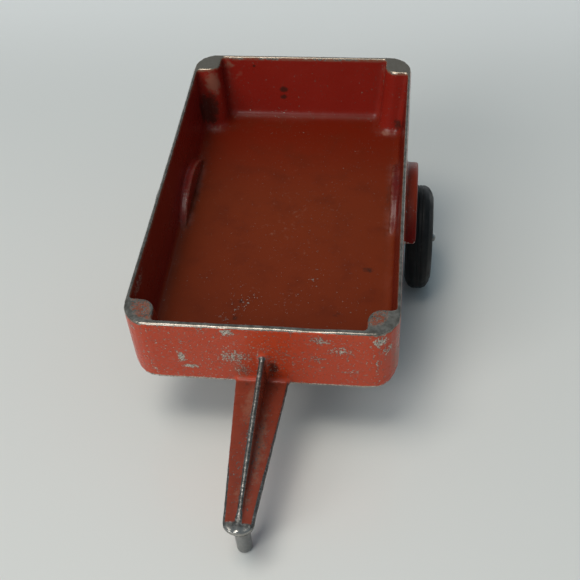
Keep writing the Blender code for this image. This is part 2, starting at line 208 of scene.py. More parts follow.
def ripple(points, layers):
    """Smooth noise at each point: the sum of layers, each a height, a wavelength and a seed."""
    total = 0
    for height, wavelength, seed in layers:
        offset = Vector((seed * 17.3, seed * 5.1, seed * 9.7))
        waves = [noise.noise(Vector(point) / wavelength + offset) for point in points]
        total = total + height * np.array(waves)
    return total


def bell(distance, width):
    """1 where distance is 0, falling smoothly to almost nothing at twice the width."""
    return np.exp(-(distance / width) ** 2)


# ---------------------------------------------------------------- casting

def uneven(points, normals):
    """The casting's points, in millimetres, with the small hollows and dents of an old toy."""
    x, y, z = points.T
    shift = ripple(points, SKIN_RIPPLES) + SKIN_RESTORED
    moved = points + normals * shift[:, None]
    rim = np.clip((z + 3) / 3, 0, 1) * (y > -2)
    dents = sum(depth * bell(x - middle, width) for middle, width, depth in RIM_DENTS)
    worn_down = ripple(points * (1, 1, 0), RIM_RIPPLES) + bell(y - 1, 4) * dents
    moved[:, 2] += rim * (RIM_RESTORED - np.maximum(worn_down, 0))
    bow = SIDE_BOW * bell(z, SIDE_BOW_DEPTH) * np.sin(math.pi * np.clip(y / LENGTH, 0, 1))
    inward = -np.sign(x) * (np.abs(x) > HALF_WIDTH - WALL) * (y > 3) * (y < LENGTH - 3)
    moved[:, 0] += inward * bow
    return moved


def cad_mesh(level):
    """The CAD casting's mesh in the level frame, welded and without its own shading."""
    mesh = frame["nodes"]["body_casting"].data.copy()
    mesh.transform(level.inverted())
    shape = bmesh.new()
    shape.from_mesh(mesh)
    bmesh.ops.remove_doubles(shape, verts=shape.verts, dist=MERGE_WITHIN)
    shape.to_mesh(mesh)
    shape.free()
    for layer in ("custom_normal", "sharp_edge"):
        if layer in mesh.attributes:
            mesh.attributes.remove(mesh.attributes[layer])
    return mesh


def resurfaced(level):
    """The CAD casting, resurfaced finely and softened as a real casting is, with the wear of its
    edges and the depth of its hollows stored for the enamel."""
    piece = new_piece("casting", cad_mesh(level), Matrix.Identity(4))
    skin = piece.modifiers.new("Skin", "REMESH")
    skin.mode = "VOXEL"
    skin.voxel_size = VOXEL
    mesh = with_modifiers(piece)
    points = read_points(mesh)
    for _ in range(SOFTENING_ROUNDS):
        points += SOFTENING * (neighbour_mean(mesh, points) - points)
    write_points(mesh, points)
    bend = bending(mesh, points)
    hollows = np.clip(-HOLLOW_GAIN * bend, 0, 1)
    store(mesh, "edge", wear_at_edges(mesh, points / MM, bend))
    store(mesh, "cavity", spread(mesh, hollows, grow=2, blur=4))
    write_points(mesh, uneven(points / MM, read_normals(mesh)) * MM)
    mesh.transform(level)
    triangles = sum(len(face.vertices) - 2 for face in mesh.polygons)
    thin = piece.modifiers.new("Fewer faces", "DECIMATE")
    thin.ratio = min(1, CASTING_TRIANGLES / triangles)
    with_modifiers(piece).shade_smooth()
    return piece


def bending(mesh, points):
    """How sharply the surface turns at each vertex: above 0 where it juts out."""
    start, end = read_edges(mesh)
    spacing = np.linalg.norm(points[start] - points[end], axis=1).mean()
    to_neighbours = neighbour_mean(mesh, points) - points
    bend = -(to_neighbours * read_normals(mesh)).sum(axis=1) / spacing
    return 0.5 * bend + 0.5 * neighbour_mean(mesh, bend)


def spread(mesh, values, grow, blur):
    """Values grown by taking each vertex's highest neighbour, then blurred."""
    start, end = read_edges(mesh)
    for _ in range(grow):
        grown = values.copy()
        np.maximum.at(grown, start, values[end])
        np.maximum.at(grown, end, values[start])
        values = grown
    for _ in range(blur):
        values = 0.5 * values + 0.5 * neighbour_mean(mesh, values)
    return values


def wear_at_edges(mesh, points, bend):
    """How likely paint is to have worn off near each outward edge, by what rubs it in use."""
    x, y, z = points.T
    edge = spread(mesh, np.clip(EDGE_GAIN * bend, 0, 1), grow=2, blur=3)
    within = (np.abs(x) < HALF_WIDTH - WALL) & (y > WALL) & (y < LENGTH - WALL)
    strength = np.full(len(x), EDGE_WEAR["elsewhere"])
    strength[within & (z < -1) & (z > FLOOR_TOP - 0.5)] = EDGE_WEAR["within"]
    strength[z > -1.2] = EDGE_WEAR["rim"]
    strength[(y < 2) & (z < BOTTOM + 1.5)] = EDGE_WEAR["front low edge"]
    strength[y < -0.5] = EDGE_WEAR["drawbar"]
    strength[np.abs(x) > HALF_WIDTH + 0.6] = EDGE_WEAR["fender"]
    return edge * strength


def casting(level):
    piece = resurfaced(level)
    piece.data.materials.clear()
    piece.data.materials.append(enamel(level))
    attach(piece, "trailer")
    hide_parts("body_casting")


# ---------------------------------------------------------------- turned pieces

def rounded(corners, segments):
    """Closed outline through (u, v, radius) corners, with an arc of that many segments at each."""
    outline = []
    for index, (u, v, radius) in enumerate(corners):
        corner = Vector((u, v))
        before = (Vector(corners[index - 1][:2]) - corner).normalized()
        after = (Vector(corners[(index + 1) % len(corners)][:2]) - corner).normalized()
        half_angle = before.angle(after) / 2
        centre = corner + (before + after).normalized() * radius / math.sin(half_angle)
        start = (corner + before * radius / math.tan(half_angle) - centre).normalized()
        end = (corner + after * radius / math.tan(half_angle) - centre).normalized()
        outline += [centre + start.slerp(end, step / segments) * radius for step in range(segments + 1)]
    return [tuple(point) for point in outline]


def turned(name, outline, place, closed=True):
    """Body of revolution about X from (x, radius) points in millimetres; a closed outline makes
    a ring, and an open one that ends on the axis makes a solid."""
    shape = bmesh.new()
    rows = []
    for x, radius in outline:
        if radius < ON_AXIS:
            rows.append([shape.verts.new((x * MM, 0, 0))] * TURN_STEPS)
            continue
        angles = [2 * math.pi * step / TURN_STEPS for step in range(TURN_STEPS)]
        rows.append([shape.verts.new((x * MM, radius * MM * math.cos(a), radius * MM * math.sin(a)))
                     for a in angles])
    pairs = list(zip(rows, rows[1:]))
    if closed:
        pairs.append((rows[-1], rows[0]))
    for near, far in pairs:
        for step in range(TURN_STEPS):
            corners = [near[step - 1], near[step], far[step], far[step - 1]]
            corners = [vert for index, vert in enumerate(corners) if vert not in corners[:index]]
            shape.faces.new(corners)
    bmesh.ops.recalc_face_normals(shape, faces=shape.faces)
    mesh = bpy.data.meshes.new(name)
    shape.to_mesh(mesh)
    shape.free()
    mesh.shade_smooth()
    mesh.set_sharp_from_angle(angle=SHARP_FROM)
    return new_piece(name, mesh, place)


def finish_piece(piece, body, node, material):
    piece.data.materials.append(material)
    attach(piece, body)
    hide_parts(node)


def tyre_outline():
    """Section of the tyre, mirrored about its middle plane: bead, seat, sidewall with a raised
    ring, a full round shoulder, and a shallow groove each side of a flat band on the tread."""
    half = [
        (3, TYRE_BORE, 0.3), (3, TYRE_SEAT, 0.05), (5.1, TYRE_SEAT, 0.15), (5.2, 16.8, 0.25),
        (5.5, 17.1, 0.15), (5.4, 17.6, 0.2), (5.2, 17.9, 0.2), (4.95, 19.0, 2.0),
        (3.6, 21.2, 1.6), (1.9, 22.05, 1.2), (1.0, 22.1, 0.1), (0.75, 21.93, 0.1), (0.5, 22.1, 0.1)]
    return rounded(half + [(-x, radius, turn) for x, radius, turn in reversed(half)], 5)


def disc_outline(facing):
    """Section of a pressed disc, a millimetre thick, that dishes in and lips out to the tyre. It
    lies on the outer side of the wheel when facing is 1, and on the inner side when it is -1."""
    middle = [(2.1, 3.75), (2.1, 6.3), (0.95, 8.0), (0.95, 11.4), (3.85, 12.9), (3.85, 15.55)]
    outer = [(x + 0.5, radius, 0.35) for x, radius in middle]
    inner = [(x - 0.5, radius, 0.35) for x, radius in reversed(middle)]
    return [(facing * x, radius) for x, radius in rounded(outer + inner, 4)]


def ring_outline(start, end, radius, turn):
    """Section of a ring round the axle, its outer edges rounded to turn and its bore's to half."""
    bore = [(x, RING_BORE, turn / 2) for x in (start, end)]
    outside = [(x, radius, turn) for x in (end, start)]
    return rounded(bore + outside, 3)


def span(node):
    """A node's reach along the axle and its radius, in millimetres; x is away from the middle."""
    low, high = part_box(node)
    across = sorted((abs(low.x), abs(high.x)))
    return across[0] / MM, across[1] / MM, (high.z - low.z) / 2 / MM


def wheel(side, sign, looks):
    """One wheel and the rings beside it. Each piece's frame is on the wheel's middle plane, with X
    outward."""
    start, end, _ = span(f"tyre_{side}")
    middle = (start + end) / 2
    axle = joint_place("axle_spin")
    place = Matrix.Translation((sign * middle * MM, axle.y, axle.z)) @ Matrix.Rotation(
        0 if sign > 0 else math.pi, 4, "Z")
    body = f"wheel_{side}"
    tyre = turned(f"rubber_tyre_{side}", tyre_outline(), place)
    finish_piece(tyre, body, f"tyre_{side}", looks["rubber"])
    for where, facing in (("outer", 1), ("inner", -1)):
        disc = turned(f"pressed_disc_{where}_{side}", disc_outline(facing), place)
        finish_piece(disc, body, f"wheel_disc_{where}_{side}", looks["zinc"])
    # Each ring's name, the node it stands for, its body, slot and look, and its rounding
    rings = (
        ("hub_tube", "wheel_hub", body, "axle_steel", "steel", 0.4),
        ("push_on_ring", "retaining_ring", "axle_set", "axle_steel", "steel", 0.3),
        ("flat_washer", "washer", "axle_set", "wheel_steel", "zinc", 0.2))
    for name, node, rides_on, slot, look, turn in rings:
        start, end, radius = span(f"{node}_{side}")
        outline = ring_outline(start - middle, end - middle, radius, turn)
        ring = turned(f"{name}_{side}", outline, place)
        finish_piece(ring, rides_on, f"{node}_{side}", looks[look])


def axle(looks):
    """The through axle, with a low dome hammered on each end."""
    low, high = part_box("axle")
    half, radius = high.x / MM, (high.z - low.z) / 2 / MM
    dome = [(half - AXLE_DOME * (1 - math.sin(turn)), radius * math.cos(turn))
            for turn in np.linspace(math.pi / 2, 0, 8)]
    dome[0] = (half, 0)
    outline = dome + [(-x, around) for x, around in reversed(dome)]
    rod = turned("axle_rod", outline, Matrix.Translation(joint_place("axle_spin")), closed=False)
    finish_piece(rod, "axle_set", "axle", looks["steel"])


# ---------------------------------------------------------------- node helpers

def opaque(value):
    """A colour written as a tuple, made opaque; a link or a number as it is."""
    return (*value, 1) if isinstance(value, tuple) else value


class Pattern:
    """A material being built: its node tree, and short ways to add nodes to it. Its patterns are
    laid out by place: millimetres in home, a frame given in the piece's own coordinates."""

    def __init__(self, name, home=Matrix.Identity(4)):
        self.material = bpy.data.materials.new(name)
        self.material.use_nodes = True
        self.tree = self.material.node_tree
        self.shader = self.tree.nodes["Principled BSDF"]
        from_piece = home.inverted()
        self.place = self.add("ShaderNodeMapping", {
            "Vector": self.add("ShaderNodeTexCoord", {}, "Object"), "Scale": (1 / MM,) * 3,
            "Rotation": from_piece.to_euler(), "Location": from_piece.translation / MM})

    def add(self, kind, values, output=0, **settings):
        """A new node's output; values go to its inputs by name or number, as links or numbers."""
        made = self.tree.nodes.new(kind)
        for key, value in settings.items():
            setattr(made, key, value)
        for key, value in values.items():
            self.put(made.inputs[key], value)
        return made.outputs[output]

    def put(self, socket, value):
        if isinstance(value, bpy.types.NodeSocket):
            self.tree.links.new(value, socket)
        else:
            socket.default_value = value

    def coordinates(self):
        """The x, y and z of place, each as a number."""
        made = self.tree.nodes.new("ShaderNodeSeparateXYZ")
        self.put(made.inputs[0], self.place)
        return made.outputs[0], made.outputs[1], made.outputs[2]

    def calc(self, operation, *numbers):
        return self.add("ShaderNodeMath", dict(enumerate(numbers)), operation=operation)

    def product(self, *factors):
        total = factors[0]
        for factor in factors[1:]:
            total = self.calc("MULTIPLY", total, factor)
        return total

    def highest(self, *parts):
        total = parts[0]
        for part in parts[1:]:
            total = self.calc("MAXIMUM", total, part)
        return total

    def step(self, value, low, high):
        """0 below low, 1 above high, smooth between; falls instead if low is above high."""
        names = {"Value": value, "From Min": low, "From Max": high}
        return self.add("ShaderNodeMapRange", names, interpolation_type="SMOOTHSTEP")

    def noise(self, size, detail=3, rough=0.5, shift=0):
        """Cloud noise from 0 to 1, its features about size millimetres. Another shift gives
        another cloud."""
        where = self.place
        if shift:
            where = self.add("ShaderNodeVectorMath", {0: where, 1: (shift,) * 3}, operation="ADD")
        values = {"Vector": where, "Scale": 1 / size, "Detail": detail, "Roughness": rough}
        return self.add("ShaderNodeTexNoise", values)

    def attribute(self, name):
        """A value that store() kept on the mesh."""
        return self.add("ShaderNodeAttribute", {}, "Fac", attribute_name=name)

    def blend(self, first, second, share):
        """Colour that goes from first to second as share goes from 0 to 1."""
        made = self.tree.nodes.new("ShaderNodeMix")
        made.data_type = "RGBA"  # which uses the node's inputs 6 and 7 and its output 2
        self.put(made.inputs[0], share)
        for index, colour in ((6, first), (7, second)):
            self.put(made.inputs[index], opaque(colour))
        return made.outputs[2]

    def between(self, first, second, share):
        """Number that goes from first to second as share goes from 0 to 1."""
        return self.add("ShaderNodeMix", {0: share, 2: first, 3: second})

    def bump(self, height, strength, distance):
        values = {"Height": height, "Strength": strength, "Distance": distance * MM}
        return self.add("ShaderNodeBump", values)

    def finish(self, **inputs):
        """The material, its shader's inputs set by name with _ for each space."""
        for name, value in inputs.items():
            self.put(self.shader.inputs[name.replace("_", " ")], opaque(value))
        return self.material


# ---------------------------------------------------------------- materials

# Linear colours of the enamel, by where it is
OUTSIDE_RED, OUTSIDE_ORANGE = (0.42, 0.036, 0.010), (0.48, 0.060, 0.018)
BAR_RED, BAR_ORANGE = (0.17, 0.028, 0.013), (0.24, 0.042, 0.020)
# the fenders' paint: FENDER_SHADED is painted shade for their fronts
FENDER_SHADED, FENDER_FADED = (0.15, 0.005, 0.002), (0.30, 0.032, 0.010)
WALL_DEEP, WALL_BRIGHT, WALL_SHADED = (0.20, 0.008, 0.004), (0.26, 0.018, 0.010), (0.11, 0.006, 0.003)
FLOOR_WARM, FLOOR_DULL = (0.172, 0.024, 0.005), (0.140, 0.021, 0.005)
FLOOR_REAR, FLOOR_CLOUD = (0.135, 0.008, 0.001), (0.10, 0.014, 0.004)
POST_TOP = (0.21, 0.045, 0.018)
# the underside's colour is painted shade: dark, so that it throws little red light onto the table
UNDERSIDE = (0.055, 0.028, 0.023)

# What covers or thins it, with a painted highlight in the pale dust and painted shade in some of the sooty marks
GRIME_DARK, PALE_DUST_AND_SHEEN = (0.045, 0.016, 0.011), (0.17, 0.060, 0.045)
# colour of the sooty marks and of the patches of painted shade
SOOT_AND_SHADE = (0.030, 0.012, 0.008)
EDGE_THINNED = (0.20, 0.095, 0.060)
RUBBED_THIN = (0.24, 0.10, 0.063)
CHIP_BORDER = (0.075, 0.020, 0.012)

# Bare casting metal: oxidised, on the rim, freshly chipped, and on the drawbar and its pin
OXIDE_DARK, OXIDE_PALE = (0.045, 0.044, 0.040), (0.24, 0.23, 0.21)
RIM_DARK, RIM_PALE, RIM_REAR = (0.15, 0.128, 0.10), (0.38, 0.335, 0.28), (0.33, 0.265, 0.20)
CHIP_DARK, CHIP_PALE = (0.11, 0.095, 0.08), (0.72, 0.66, 0.56)
BAR_METAL, BAR_GLINT, PIN_METAL = (0.080, 0.078, 0.072), (0.50, 0.48, 0.44), (0.25, 0.25, 0.245)

# Running gear and table
RUBBER_BLACK, RUBBER_BLOOM = (0.004, 0.004, 0.004), (0.009, 0.010, 0.010)
TREAD_DUST = (0.022, 0.021, 0.02)
STEEL_LIGHT, STEEL_DARK = (0.42, 0.42, 0.40), (0.18, 0.175, 0.165)
ZINC_LIGHT, ZINC_DARK = (0.56, 0.57, 0.56), (0.33, 0.335, 0.33)
RUST = (0.10, 0.035, 0.015)
TABLE_DULL, TABLE_LIGHT = (0.705, 0.695, 0.65), (0.745, 0.735, 0.69)

# Marks the toy has picked up, with a few patches of painted shade among the sooty ones, in
# millimetres in the level frame: each is the middle of a soft round patch, its reach along X, Y
# and Z, and how strongly it shows
FLAKED = [
    # front wall, along its upper edge from left to right
    ((-44, 1, -3), (5, 5, 5), 0.8), ((-27, 0, -8), (4, 3, 3), 0.6), ((-19, 0, -2), (3, 3, 4), 0.7),
    ((-10.5, 0, -2), (5, 3, 3.6), 1.1), ((1, 0, -7), (4, 3, 3), 0.5), ((21, 0, -4), (8, 3, 5), 0.8),
    ((28, 0, -9), (10, 3, 6), 0.75), ((41, 1, -4), (5, 5, 5), 1.0), ((43, 3, -9), (5, 6, 6), 0.8),
    # front wall, lower down from left to right
    ((-38, 0, -24), (6, 4, 3), 0.6), ((-27.8, 0, -16.5), (2.6, 3, 6), 1.15),
    ((-25, 0, -21.3), (6, 3, 2.2), 1.1), ((-9, 0, -15), (13, 3, 9), 0.78),
    ((-6, 0, -22), (7, 3, 7), 0.75), ((8, 0, -12), (7, 3, 8), 0.55), ((20, 0, -14), (9, 3, 5), 0.6),
    ((32, 0, -20), (8, 3, 5), 0.6),
    # drawbar, and the left wall's inside near its front
    ((0, -20, -26), (8, 30, 6), 0.35), ((-46.2, 22, -4), (2, 15, 4), 0.95),
    # outside of the right, left and rear walls
    ((47.5, 18, -22), (4, 22, 9), 0.65), ((47.5, 140, -5), (4, 22, 7), 0.6),
    ((-47.5, 25, -20), (4, 26, 9), 0.65), ((-47.5, 128, -22), (4, 26, 8), 0.6),
    ((-20, 158, -6), (16, 4, 7), 0.65), ((24, 158, -22), (18, 4, 8), 0.65)]
PITTED = [
    # front wall, all over and beside the rib; drawbar
    ((0, 0, -14), (52, 3, 20), 0.72), ((5, 0, -21), (6, 3, 6), 0.95),
    ((0, -28, -25), (16, 55, 10), 0.85),
    # tub floor, all over and more towards its front
    ((0, 80, FLOOR_TOP), (46, 90, 4), 0.22), ((-12, 36, FLOOR_TOP), (18, 19, 4), 0.6),
    ((-18, 26, FLOOR_TOP), (14, 14, 4), 0.62), ((4, 35, FLOOR_TOP), (12, 13, 4), 0.5),
    ((14, 50, FLOOR_TOP), (9, 14, 4), 0.5), ((24, 40, FLOOR_TOP), (14, 16, 4), 0.35),
    # inside of the rear and left walls
    ((-22, 150, -5), (14, 12, 7), 0.5), ((-45, 24, -5), (3, 16, 4), 0.9),
    # outside of the right, left and rear walls
    ((48, 79, -14), (5, 95, 20), 0.55), ((-48, 79, -14), (5, 95, 20), 0.55),
    ((0, 159, -14), (52, 4, 20), 0.55)]
SOOT_AND_SHADE_MARKS = [
    # tub floor
    ((34.2, 55.6, FLOOR_TOP), (6.5, 4, 3), 0.75), ((24, 32, FLOOR_TOP), (6, 5, 3), 0.62),
    ((-37, 41, FLOOR_TOP), (6, 6, 4), 0.5), ((16, 133, FLOOR_TOP), (4, 8, 3), 0.5),
    ((-13, 37, FLOOR_TOP), (2.5, 3.5, 3), 0.8), ((-14, 28, FLOOR_TOP), (3, 3, 3), 0.8),
    # rear wall's three spots; painted shade at the foot of the rear-left post and on the left wall
    # beside it, and a darker patch at the foot of the rear-right post
    ((-9.2, 153.2, -14.6), (4.4, 4, 3), 1.2), ((-9.4, 153, -18.2), (3.8, 4, 2.8), 1.1),
    ((-22.3, 155.6, -3.8), (1.4, 3, 1.2), 1.2), ((-42, 141, -17), (10, 11, 17), 1.2),
    ((42.5, 140, -23), (4.5, 6, 6), 1.0),
    # root of the drawbar and of its rib; the patch right of the rib is the rib's painted shadow on
    # the front wall
    ((0, 0, -20), (6, 4, 10), 0.4), ((-5, -4, -27), (6, 9, 3), 0.6), ((5, -4, -27), (6, 9, 3), 0.6),
    ((4.5, 0, -20), (4, 4, 7), 1.0)]
RUBBED = [
    # rear posts and rear wall
    ((-39, 145.5, -6), (7, 4, 10), 1.1), ((-34, 156, -3), (7, 4, 4), 0.6),
    ((-30, 155, -8), (9, 3, 7), 0.35), ((36, 153, -8), (2, 5, 14), 0.5),
    ((38, 139, -26.5), (6, 4, 2), 0.6), ((-38, 139, -26.5), (6, 4, 2), 0.4),
    # left wall's inside, and the tub floor all over
    ((-45, 24, -5), (2.5, 12, 3), 0.6), ((0, 80, FLOOR_TOP), (40, 70, 3), 0.12),
    # front wall and drawbar
    ((-7, -1, -22), (7, 3, 7), 0.8), ((47, 6, -15), (4, 8, 17), 0.65),
    ((3, -28, -26), (3.4, 32, 5), 0.75), ((-3, -12, -25), (5, 16, 6), 0.7),
    ((0, -48, -25), (5, 9, 5), 0.6)]


def patches(p, marks):
    """Soft round patches where the marks are: 0 away from them, each mark's strength at its middle."""
    covered = 0
    for middle, reach, strength in marks:
        away = p.add("ShaderNodeVectorMath", {0: p.place, 1: middle}, operation="SUBTRACT")
        scaled = p.add("ShaderNodeVectorMath", {0: away, 1: reach}, operation="DIVIDE")
        distance = p.add("ShaderNodeVectorMath", {0: scaled}, "Value", operation="LENGTH")
        covered = p.highest(covered, p.product(p.step(distance, 1, 0), strength))
    return covered


def depth_behind(p, first, second, radius):
    """Depth behind two faces that meet in a rounded corner, given the depth behind each."""
    short = [p.calc("MAXIMUM", p.calc("SUBTRACT", radius, depth), 0) for depth in (first, second)]
    return p.calc("SUBTRACT", radius, length_of(p, *short))


def length_of(p, first, second):
    squares = p.calc("ADD", p.product(first, first), p.product(second, second))
    return p.calc("SQRT", squares)


def enamel(level):
    """Red enamel on a grey casting: worn bare along its edges, chipped on its flats, stained and
    dulled inside. Depth is how far a point lies behind the tub's outside, in plan; lift is the
    same in a cross section, behind the sides and the underside."""
    p = Pattern("worn_red_enamel", level)
    x, y, z = p.coordinates()
    across = p.calc("ABSOLUTE", x)
    from_side = p.calc("SUBTRACT", HALF_WIDTH, across)
    from_end = p.calc("MINIMUM", y, p.calc("SUBTRACT", LENGTH, y))
    depth = depth_behind(p, from_side, from_end, CORNER_RADIUS)
    lift = depth_behind(p, from_side, p.calc("SUBTRACT", z, BOTTOM), SIDE_EDGE_RADIUS)
    inside = p.step(p.calc("MINIMUM", depth, lift), 0.45, 0.95)
    floor = p.product(inside, p.step(z, FLOOR_TOP + 3.5, FLOOR_TOP + 0.4))
    fender = p.step(across, HALF_WIDTH + 0.2, HALF_WIDTH + 0.7)
    below = p.product(p.step(z, BOTTOM + 0.5, BOTTOM), p.step(y, 0.3, 1))
    flat_floor = p.product(inside, p.step(z, FLOOR_TOP + 1.3, FLOOR_TOP + 0.5))
    dull = p.highest(flat_floor, below, p.product(fender, 0.8))
    colour = paint_colour(p, x, y, z, fender, inside, floor)
    # painted shade: the underside is darkened, which also keeps red light off the table in the tub's shadow
    colour = p.blend(colour, UNDERSIDE, p.product(below, 0.9))
    colour = stained(p, colour, inside)
    bare, border = bare_metal(p, x, y, z, depth, lift)
    metal, metal_rough = metal_colour(p, y, z, floor)
    colour = p.blend(colour, CHIP_BORDER, p.product(border, 0.55))
    colour = p.blend(colour, metal, bare)
    rough = p.between(0.2, 0.36, p.noise(7, 4))
    rough = p.between(rough, 0.5, p.product(dull, 0.8))
    rough = p.between(rough, metal_rough, bare)
    grain = p.calc("ADD", p.product(p.noise(0.9, 3), 0.5), p.product(p.noise(3.2, 2), 0.8))
    height = p.calc("SUBTRACT", grain, p.product(bare, 0.9))
    gloss = p.between(p.between(0.24, 0.1, dull), 0.5, bare)
    return p.finish(
        Base_Color=colour, Metallic=p.product(bare, 0.75), Roughness=rough,
        Specular_IOR_Level=gloss, Normal=p.bump(height, 0.35, 0.05))


def paint_colour(p, x, y, z, fender, inside, floor):
    """Enamel faded to orange outside and to brown on the drawbar, deep red on the inner walls and
    browned by dirt on the tub's floor. Painted shade darkens the front of each fender and the right
    inner wall."""
    mottled = p.noise(22, 4)
    outside = p.blend(OUTSIDE_RED, OUTSIDE_ORANGE, mottled)
    bar = p.blend(BAR_RED, BAR_ORANGE, p.noise(6, 4, shift=2))
    outside = p.blend(outside, bar, p.step(y, -0.6, -2.2))
    # painted shade: each fender is darker at its front, below Y 72, than on its faded top
    fender_with_shaded_front = p.blend(FENDER_SHADED, FENDER_FADED, p.step(y, 72, 88))
    outside = p.blend(outside, fender_with_shaded_front, fender)
    walls = p.blend(WALL_DEEP, WALL_BRIGHT, mottled)
    # painted shade on the right inner wall, ahead of the rear post
    shaded_right_wall = p.product(p.step(x, 38, 41), p.step(y, 142, 130))
    walls = p.blend(walls, WALL_SHADED, shaded_right_wall)
    bed = p.blend(FLOOR_WARM, FLOOR_DULL, p.noise(30, 3, shift=7))
    bed = p.blend(bed, FLOOR_REAR, p.step(y, 85, 150))
    cloud = p.step(p.noise(11, 5, rough=0.6, shift=3), 0.45, 0.75)
    bed = p.blend(bed, FLOOR_CLOUD, p.product(cloud, 0.5))
    colour = p.blend(outside, p.blend(walls, bed, floor), inside)
    return p.blend(colour, POST_TOP, p.product(p.step(z, -0.7, -0.4), p.step(y, 1, 2)))


def stained(p, colour, inside):
    """Colour with dirt in the hollows, whose pale dust is also a painted highlight along the fillets,
    paint thinned on inner edges, the rubbed marks, and sooty marks among which are patches of
    painted shade."""
    broken = p.noise(2.2, 6, rough=0.65, shift=13)
    ragged = p.step(broken, 0.3, 0.6)
    # dark dirt and pale dust in the hollows; the pale dust is also a painted highlight along the fillets
    dirt_and_sheen = p.blend(GRIME_DARK, PALE_DUST_AND_SHEEN, p.step(p.noise(9, 4, shift=6), 0.4, 0.62))
    colour = p.blend(colour, dirt_and_sheen, p.product(p.attribute("cavity"), ragged, 0.75))
    thinned = p.product(p.step(p.attribute("edge"), 0.1, 0.35), inside, ragged)
    colour = p.blend(colour, EDGE_THINNED, p.product(thinned, 0.75))
    rubbed = p.step(p.calc("ADD", p.product(patches(p, RUBBED), 0.5), broken), 0.62, 0.9)
    colour = p.blend(colour, RUBBED_THIN, p.product(rubbed, 0.75))
    # sooty stains, and painted shade at the rear-left post and right of the drawbar's rib
    soot_and_shade = p.calc("ADD", p.product(patches(p, SOOT_AND_SHADE_MARKS), 0.75), p.product(broken, 0.85))
    return p.blend(colour, SOOT_AND_SHADE, p.product(p.step(soot_and_shade, 0.76, 1.12), 0.8))


def bare_metal(p, x, y, z, depth, lift):
    """Share of bare metal, 0 or 1 with ragged borders, and the dark borders of the chips."""
    ragged = p.calc("ADD", p.product(p.noise(2.0, 5, rough=0.7), 0.7), p.product(p.noise(8, 2), 0.45))
    ragged = p.calc("SUBTRACT", ragged, 0.575)  # its mean, so that it lies about 0
    off_bar = p.step(y, -1.5, 0.2)
    edges = p.step(p.calc("ADD", p.attribute("edge"), p.product(ragged, 0.9)), 0.40, 0.46)
    low_edge = p.step(p.calc("ADD", lift, p.product(ragged, 1.4)), 1.15, 1.0)
    low_edge = p.product(low_edge, p.step(y, 1.2, 0.9), off_bar)
    chips, border = chipped(p, y, off_bar)
    rim = rim_wear(p, x, y, z, depth, ragged, off_bar)
    return p.highest(rim, low_edge, edges, bar_wear(p, x, y, z, ragged), chips), border


def chipped(p, y, off_bar):
    """Flakes and pits in the paint, where the marks are and on the front wall, and the borders
    round the flakes."""
    front = p.product(p.step(y, 4, 0), off_bar, 0.38)
    anywhere = p.product(p.noise(30, 2, shift=31), 0.3)
    likely = p.highest(patches(p, FLAKED), front, anywhere)
    flakes = p.calc("ADD", p.noise(1.1, 8, rough=0.74, shift=11), p.product(likely, 0.27))
    fine = p.noise(0.9, 3, rough=0.6, shift=17)
    pits = p.calc("ADD", p.product(patches(p, PITTED), 0.24), fine)
    return p.highest(p.step(flakes, 0.68, 0.71), p.step(pits, 0.77, 0.80)), p.step(flakes, 0.63, 0.68)


def rim_wear(p, x, y, z, depth, ragged, off_bar):
    """Bare metal along the rim, reaching farther down on the outside and all round the front wall
    than within the other walls, less the scuffed paint left on the tops of the front posts."""
    inner_side = p.between(-0.12, -0.4, p.step(y, 4, 3))
    lowest = p.between(-0.32, inner_side, p.step(depth, 0.5, 0.9))
    above = p.calc("SUBTRACT", p.calc("ADD", z, p.product(ragged, 0.6)), lowest)
    rim = p.product(p.step(above, 0, 0.1), off_bar)
    worn_round = p.between(2, 3.6, p.step(x, -1, 1))
    from_edge = p.calc("SUBTRACT", p.calc("ADD", depth, p.product(ragged, 3)), worn_round)
    post_top = p.product(p.step(y, 12.5, 10.5), p.step(from_edge, 0, 1.2))
    kept = p.step(p.calc("ADD", p.noise(0.7, 5, rough=0.7), p.product(ragged, 0.6)), 0.45, 0.52)
    return p.calc("SUBTRACT", rim, p.product(post_top, kept, 0.9))


def bar_wear(p, x, y, z, ragged):
    """Bare metal on the pin, on the nose of the drawbar, along its edges and on its rib."""
    across = p.calc("ABSOLUTE", x)
    half_width = p.calc("MULTIPLY_ADD", y, (BAR_ROOT_HALF - BAR_TIP_HALF) / BAR_LENGTH, BAR_ROOT_HALF)
    left_wide = p.between(-0.2, 1.1, p.step(y, -26, -44))
    right_wide = p.between(0.55, 1.35, p.step(y, -15, -52))
    wide = p.between(left_wide, right_wide, p.step(x, -1, 1))
    from_side = p.calc("ADD", p.calc("SUBTRACT", half_width, across), p.product(ragged, 0.8))
    side = p.step(from_side, wide, p.calc("SUBTRACT", wide, 0.15))
    from_tip = p.calc("ADD", y, p.product(ragged, 2.5))
    nose = p.step(from_tip, -BAR_LENGTH + 4.2, -BAR_LENGTH + 3.6)
    pin = p.product(p.step(z, BOTTOM + 1.6, BOTTOM + 1.2), p.step(y, PIN_Y + 7, PIN_Y + 5.5))
    ends = p.product(p.highest(side, nose, pin), p.step(y, -0.5, -2))
    towards_root = p.step(y, -56, -25)
    below_crest = p.calc("SUBTRACT", p.calc("MULTIPLY_ADD", y, CREST_FALL, CREST_Z), z)
    reach = p.between(0.25, 0.7, towards_root)
    crest = p.step(
        p.calc("ADD", below_crest, p.product(ragged, 0.9)), p.calc("ADD", reach, 0.1), reach)
    past_rib = p.calc("SUBTRACT", across, p.between(1.0, 2.6, towards_root))
    return p.highest(ends, p.product(crest, p.step(y, -0.5, -1), p.step(past_rib, 0.3, 0)))


